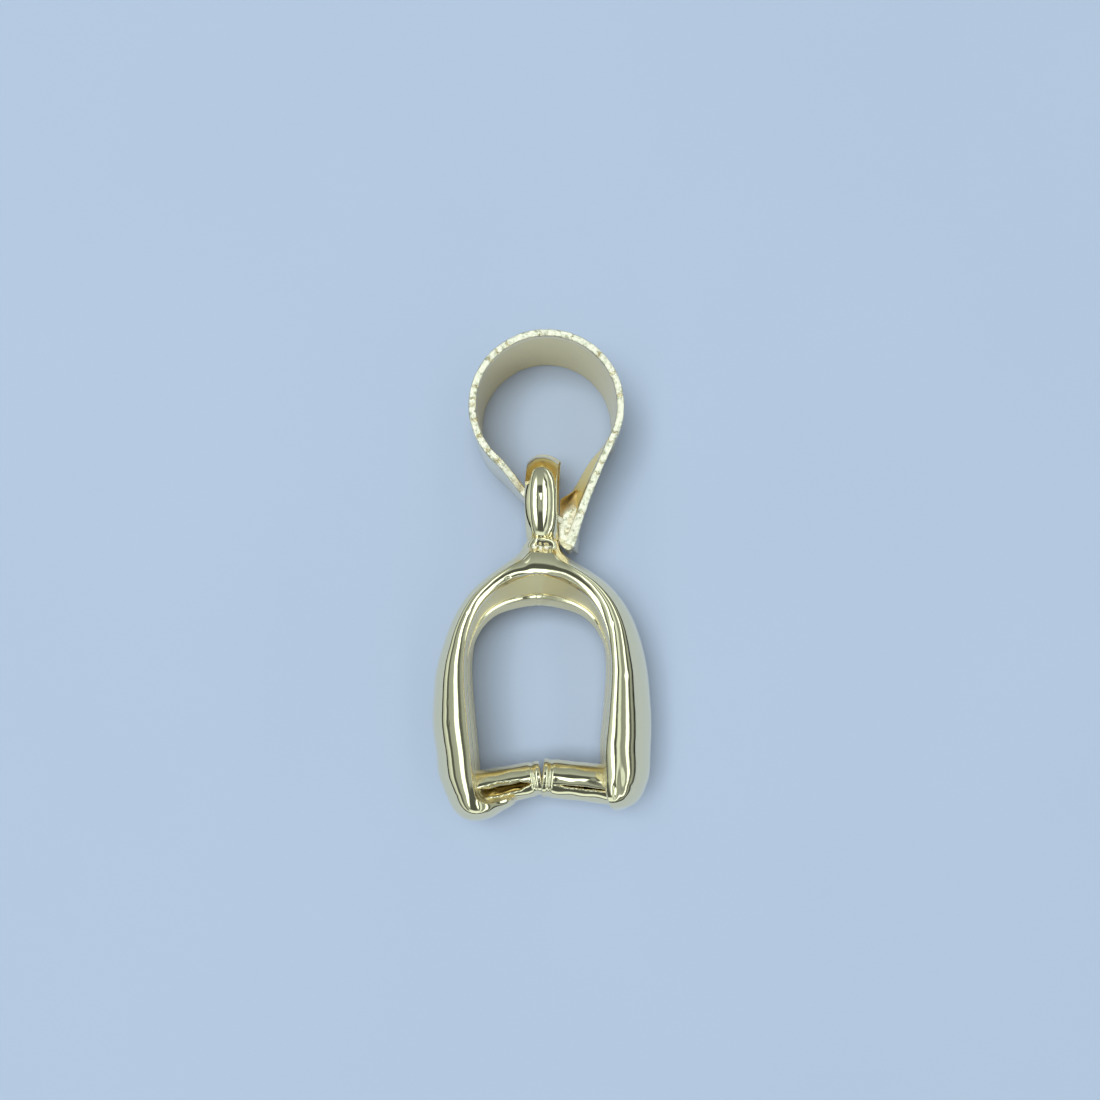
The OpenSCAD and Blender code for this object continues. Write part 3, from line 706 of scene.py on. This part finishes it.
class BailSizes(bpy.types.PropertyGroup):
    """Lengths in millimetres and angles in degrees, by the names of the part's own sizes."""

    loop_d: measure("Loop diameter", "Outer diameter of the round part of the loop, mm", 7.2)
    loop_l: measure("Loop length", "From the centre of the round part to the soldered tip, mm", 6.5)
    loop_lean: measure("Loop lean", "Sideways lean of the loop, degrees", 10.0)
    strap_t: measure("Strap thickness", "Thickness of the loop's strap, mm", 0.36)
    lap_t: measure("Tip thickness", "Thickness of the right leg at the tip, mm", 0.54)
    strap_w: measure("Strap width", "Width of the loop's strap at the top, mm", 5.0)
    edge_round: measure("Edge rounding", "Rounded corner of the strap's edges, mm", 0.1)
    leg_bow: measure("Left leg's bow", "How far the left leg bows outwards, mm", 0.2)
    right_bow: measure("Right leg's bow", "How far the right leg bows inwards, mm", 0.1)
    leg_twist: measure("Right leg's twist", "How far the far edge of the right leg leans inwards, mm", 0.74)
    lap_l: measure("Lap", "Length of the lap at the tip, mm", 0.75)
    link_gap: measure("Link gap", "Gap between the loop and the ring, mm", 0.12)
    tip_out: measure("Tip offset", "How far the tip stands outside the ring, mm", 0.3)
    ring_d: measure("Ring diameter", "Outer diameter of the ring, mm", 4.9)
    ring_x: measure("Ring's place", "How far the ring stands to the right of the middle, mm", 0.145)
    ring_turn: measure("Ring turn", "Turn of the ring about the clip's centre line, degrees", 6.0)
    ring_w: measure("Ring width", "Width of the ring's band, mm", 1.5)
    ring_t: measure("Ring wall", "Wall of the ring at its crown, mm", 0.4)
    lip_drop: measure("Neck", "From the foot of the ring to the lip of the arch, mm", 0.95)
    neck_rise: measure("Neck flare", "How far the dome flares up to the ring, mm", 0.5)
    neck_w: measure("Neck width", "Half width of the flare, mm", 0.52)
    neck_left: measure("Neck's place", "How far the neck stands to the left of the ring, mm", 0.19)
    neck_fill: measure("Neck fill", "Solder on the neck's top, share of the flare", 1.5)
    clip_gap: measure("Clip gap", "Widest gap between the arms, mm", 6.6)
    clip_h: measure("Clip height", "From the lip of the arch to the ends of the arms, mm", 11.5)
    arch_left: measure("Arch's place", "How far the arch stands to the left of the ring, mm", 0.33)
    clip_depth: measure("Clip depth", "Depth of the band, mm", 5.2)
    arm_t: measure("Arm thickness", "Thickness of the arms at their crown, mm", 2.2)
    liner_drop: measure("Liner drop", "How far the liner stands below the lip, mm", 1.08)
    liner_bow: measure("Liner bow", "How far the liner bows inwards, mm", 0.3)
    liner_t: measure("Liner edge", "Thickness of the liner's cut edge, mm", 0.14)
    liner_inset: measure("Liner inset", "Depth of the liner's edge below the rims, mm", 1.5)
    lip_round: measure("Lip rounding", "Rounded corner along the inner edge of the rims, mm", 0.12)
    peg_root_r: measure("Peg root", "Radius of the pegs at the arms, mm", 0.84)
    left_tip_r: measure("Left peg tip", "Radius of the left peg at its tip, mm", 0.7)
    right_tip_r: measure("Right peg tip", "Radius of the right peg at its tip, mm", 0.8)
    peg_swell: measure("Peg swell", "How much fuller the polished pegs are than the part's own, mm", 0.08)
    peg_wall: measure("Peg wall", "Thickness of the rolled sheet, mm", 0.2)
    left_rise: measure("Left peg slope", "Slope of the left peg, degrees", 11.0)
    right_rise: measure("Right peg slope", "Slope of the right peg, degrees", 6.0)
    peg_up: measure("Peg height", "Height of the pegs' tips above the ends of the arms, mm", 2.05)
    peg_meet: measure("Where the pegs meet", "How far to the right of the arms' middle, mm", 0.16)
    peg_gap: measure("Peg gap", "Gap between the tips of the pegs, mm", 0.02)
    seam_left_w: measure("Left seam", "Widest opening of the left peg's seam, mm", 0.74)
    seam_right_w: measure("Right seam", "Widest opening of the right peg's seam, mm", 0.3)


class BailColours(bpy.types.PropertyGroup):
    """Colours as sRGB hex."""

    plate: hex_colour("Plate", "Pale gold plate, face on", "fdeec8")
    # painted glow: this deeper gold stands in for light reflected between the gold surfaces in recesses
    recess: hex_colour("Recess", "Plate in the recesses", "f8dc8c")
    # painted highlight: the cut edge's near-white colour stands in for its bright reflection of the lights
    # above
    cut_edge_sheen: hex_colour("Cut edge", "Plate on the strap's cut edge", "fff1da")
    torn: hex_colour("Torn metal", "Darker patches of the cut edge", "8f8c68")
    board: hex_colour("Board", "Surface that the bail lies on", "888b9c")
    board_light: hex_colour("Board, lighter", "The surface's paler clouds", "8b8e9f")
    light: hex_colour("Light", "Colour of the soft boxes", "eaffff")


class BailLight(bpy.types.PropertyGroup):
    """Strength of the lights."""

    room_strength: bpy.props.FloatProperty(
        name="Tent", description="Strength of the studio tent", default=1.0
    )
    key_power: bpy.props.FloatProperty(
        name="Key", description="Power of the key light", default=4.1, unit="POWER"
    )


class BailView(bpy.types.PropertyGroup):
    """Camera, which looks down on the bail."""

    eye: bpy.props.FloatVectorProperty(
        name="Eye", size=3, description="Place of the camera, mm", default=(0.35, -4.0, 52.3)
    )
    tilt: bpy.props.FloatProperty(
        name="Tilt", description="Tilt of the camera from straight down, degrees", default=6.0
    )
    focal_px: bpy.props.FloatProperty(
        name="Focal length", description="In pixels of an image 1100 wide", default=1050.0
    )


def settings(context):
    scene = context.scene
    return scene.bail_sizes, scene.bail_colours, Layout(scene.bail_sizes)


# Operators


class MakeLoop(bpy.types.Operator):
    """Makes the strap loop and the solder at its tip"""

    bl_idname = "bail.make_loop"
    bl_label = "Make the loop"

    def execute(self, context):
        sizes, colours, lay = settings(context)
        plate = finish("gold_plate_on_cut_strap", strap_plate, colours)
        grid, marks = strap_grid(sizes, lay)
        strap = make_piece("loop_strap", grid, plate, marks)
        grid, marks = solder_grid(sizes, lay)
        solder = make_piece("loop_solder", grid, plate, marks)
        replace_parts(strap, "bail_loop")
        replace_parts(solder, "bail_loop")
        return {"FINISHED"}


class MakeClip(bpy.types.Operator):
    """Makes the domed band of the clip with its neck and the beads of solder on it"""

    bl_idname = "bail.make_clip"
    bl_label = "Make the clip"

    def execute(self, context):
        sizes, colours, lay = settings(context)
        plate = finish("gold_plate_polished", polished_plate, colours)
        grid, marks = band_grid(sizes, lay)
        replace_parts(make_piece("clip_band", grid, plate, marks), "pinch_clip")
        plate = finish("gold_plate_on_cut_strap", strap_plate, colours)
        for number, bead in enumerate(BEADS):
            grid, marks = bead_grid(*bead)
            make_piece(f"neck_solder_{number + 1}", grid, plate, marks)
        return {"FINISHED"}


class MakeRing(bpy.types.Operator):
    """Makes the domed ring that the loop hangs on"""

    bl_idname = "bail.make_ring"
    bl_label = "Make the ring"

    def execute(self, context):
        sizes, colours, lay = settings(context)
        plate = finish("gold_plate_polished", polished_plate, colours)
        grid, marks = ring_grid(sizes, lay)
        make_piece("clip_ring", grid, plate, marks, endless=True)
        return {"FINISHED"}


class MakePegs(bpy.types.Operator):
    """Makes the two rolled pegs"""

    bl_idname = "bail.make_pegs"
    bl_label = "Make the pegs"

    def execute(self, context):
        sizes, colours, lay = settings(context)
        plate = finish("gold_plate_polished", polished_plate, colours)
        grid = peg_grid(sizes, lay, -1, sizes.left_rise, sizes.left_tip_r, sizes.seam_left_w, -8)
        make_piece("left_peg", grid, plate)
        grid = peg_grid(sizes, lay, 1, sizes.right_rise, sizes.right_tip_r, sizes.seam_right_w, -13)
        make_piece("right_peg", grid, plate)
        return {"FINISHED"}


# The tent's brightness by the angle from overhead, in degrees, to the right and towards the loop
ACROSS = [
    (-90, 0.05), (-86, 0.05), (-82, 0.5), (-68, 0.9), (-63, 0.1), (-56, 0.1), (-52, 0.4), (-33, 0.45),
    (-29, 2.2), (-20, 2.4), (-17, 0.12), (-13, 0.12), (-9, 0.42), (2, 0.4), (4, 0.12), (8, 0.12),
    (11, 0.5), (20, 0.7), (22, 2.2), (28, 2.3), (31, 0.1), (36, 0.1), (39, 0.9), (46, 0.9),
    (49, 0.3), (62, 0.38), (64, 1.8), (69, 1.8), (72, 0.1), (76, 0.1), (80, 0.45), (89, 0.05),
]
LENGTHWISE = [
    (-90, 0.05), (-86, 0.05), (-84, 1.0), (-70, 1.0), (-66, 0.1), (-26, 0.1), (-18, 0.4), (2, 0.42),
    (5, 2.4), (17, 2.4), (21, 0.1), (36, 0.1), (41, 0.5), (62, 0.36), (82, 0.3), (88, 0.05),
]


class MakeStage(bpy.types.Operator):
    """Makes the floor, the soft studio light and the camera"""

    bl_idname = "bail.make_stage"
    bl_label = "Make the stage"

    def execute(self, context):
        scene, view, colours = context.scene, context.scene.bail_view, context.scene.bail_colours
        half, below = 0.6, -0.00001
        mesh = bpy.data.meshes.new("board")
        corners = [(-half, -half, below), (half, -half, below), (half, half, below), (-half, half, below)]
        mesh.from_pydata(corners, [], [(0, 1, 2, 3)])
        mesh.materials.append(finish("matt_painted_board", painted_board, colours))
        board = bpy.data.objects.new("board", mesh)
        scene.collection.objects.link(board)
        self.key_light(scene, colours)
        self.room(scene, colours)
        data = bpy.data.cameras.new("camera")
        data.sensor_width, data.lens = SENSOR, view.focal_px / PHOTO_PX * SENSOR
        data.clip_start, data.clip_end = 0.001, 10.0
        camera = bpy.data.objects.new("camera", data)
        camera.location = [v * MM for v in view.eye]
        camera.rotation_euler = (np.radians(view.tilt), 0, 0)
        scene.collection.objects.link(camera)
        scene.camera = camera
        scene.view_settings.view_transform = "Standard"
        return {"FINISHED"}

    def key_light(self, scene, colours):
        """Soft key light, high up on the left: it gives the shadow on the right, and no glint."""
        side, reach = 0.26, 0.5
        from_overhead, direction = np.radians(9), np.radians(172)
        data = bpy.data.lights.new("key", "AREA")
        data.shape, data.size, data.size_y = "RECTANGLE", side, side
        data.energy, data.color = scene.bail_light.key_power, linear(colours.light)[:3]
        light = bpy.data.objects.new("key", data)
        light.visible_glossy = False
        out, height = reach * np.sin(from_overhead), reach * np.cos(from_overhead)
        light.location = (out * np.cos(direction), out * np.sin(direction), height)
        light.rotation_euler = (0, from_overhead, direction)
        scene.collection.objects.link(light)

    def room(self, scene, colours):
        """Studio tent of pale cloth with darker gaps, dark at the horizon. Its brightness is one curve
        of the angle across the bail and another of the angle along it, mixed by direction."""
        world = bpy.data.worlds.new("studio_tent")
        world.use_nodes = True
        tree = world.node_tree
        tree.nodes.clear()
        way = add(tree, "ShaderNodeTexCoord").outputs["Generated"]
        x, y, z = add(tree, "ShaderNodeSeparateXYZ", {0: way}).outputs
        wobble = add(tree, "ShaderNodeTexNoise", {"Vector": way, "Scale": 4.0, "Detail": 1.0}).outputs["Fac"]

        def curve(side, stops):
            angle = add(tree, "ShaderNodeMath", {0: side, 1: z}, operation="ARCTAN2").outputs[0]
            sky = {"Value": angle, "From Min": -float(np.pi) / 2, "From Max": float(np.pi) / 2}
            share = add(tree, "ShaderNodeMapRange", sky).outputs["Result"]
            uneven = {0: wobble, 1: 0.03, 2: -0.015}
            off = add(tree, "ShaderNodeMath", uneven, operation="MULTIPLY_ADD").outputs[0]
            moved = add(tree, "ShaderNodeMath", {0: share, 1: off}, operation="ADD").outputs[0]
            ramp = add(tree, "ShaderNodeValToRGB", {"Fac": moved})
            band = ramp.color_ramp
            while len(band.elements) < len(stops):
                band.elements.new(0.5)
            for element, (degrees, value) in zip(band.elements, stops):
                element.position = (degrees + 90) / 180
                element.color = (value, value, value, 1)
            return ramp.outputs["Color"]

        across, length_wise = curve(x, ACROSS), curve(y, LENGTHWISE)
        xx = add(tree, "ShaderNodeMath", {0: x, 1: x}, operation="MULTIPLY").outputs[0]
        both = add(tree, "ShaderNodeMath", {0: y, 1: y, 2: xx}, operation="MULTIPLY_ADD").outputs[0]
        yy = add(tree, "ShaderNodeMath", {0: y, 1: y}, operation="MULTIPLY").outputs[0]
        part = add(tree, "ShaderNodeMath", {0: yy, 1: both}, operation="DIVIDE").outputs[0]
        blend = {"Value": part, "From Min": 0.82, "From Max": 0.95}
        share = add(tree, "ShaderNodeMapRange", blend, interpolation_type="SMOOTHSTEP").outputs["Result"]
        both_ways = {"Factor": share, "A": across, "B": length_wise}
        glow = add(tree, "ShaderNodeMix", both_ways, data_type="RGBA").outputs["Result"]
        tint = {"Factor": 1.0, "A": glow, "B": linear(colours.light)}
        tinted = add(tree, "ShaderNodeMix", tint, data_type="RGBA", blend_type="MULTIPLY").outputs["Result"]
        strength = scene.bail_light.room_strength
        rim = {"Value": z, "From Min": 0.03, "From Max": 0.09, "To Min": 0.04 * strength, "To Max": strength}
        low = add(tree, "ShaderNodeMapRange", rim).outputs["Result"]
        back = add(tree, "ShaderNodeBackground", {"Color": tinted, "Strength": low})
        add(tree, "ShaderNodeOutputWorld", {"Surface": back.outputs["Background"]})
        scene.world = world


class BailPanel(bpy.types.Panel):
    """Lists the steps and the sizes"""

    bl_idname = "VIEW3D_PT_pinch_bail"
    bl_label = "Pinch bail"
    bl_space_type = "VIEW_3D"
    bl_region_type = "UI"
    bl_category = "Pinch bail"

    def draw(self, context):
        for step_class in STEPS:
            self.layout.operator(step_class.bl_idname)
        scene = context.scene
        for group in (scene.bail_sizes, scene.bail_colours, scene.bail_light, scene.bail_view):
            box = self.layout.box()
            for key in group.__annotations__:
                box.prop(group, key)


STEPS = (MakeLoop, MakeClip, MakeRing, MakePegs, MakeStage)
CLASSES = (BailSizes, BailColours, BailLight, BailView, *STEPS, BailPanel)


def register():
    for item in CLASSES:
        bpy.utils.register_class(item)
    bpy.types.Scene.bail_sizes = bpy.props.PointerProperty(type=BailSizes)
    bpy.types.Scene.bail_colours = bpy.props.PointerProperty(type=BailColours)
    bpy.types.Scene.bail_light = bpy.props.PointerProperty(type=BailLight)
    bpy.types.Scene.bail_view = bpy.props.PointerProperty(type=BailView)


def unregister():
    del bpy.types.Scene.bail_sizes
    del bpy.types.Scene.bail_colours
    del bpy.types.Scene.bail_light
    del bpy.types.Scene.bail_view
    for item in reversed(CLASSES):
        bpy.utils.unregister_class(item)


def main():
    register()
    bpy.ops.bail.make_loop()
    bpy.ops.bail.make_clip()
    bpy.ops.bail.make_ring()
    bpy.ops.bail.make_pegs()
    bpy.ops.bail.make_stage()


if __name__ == "__main__":
    main()
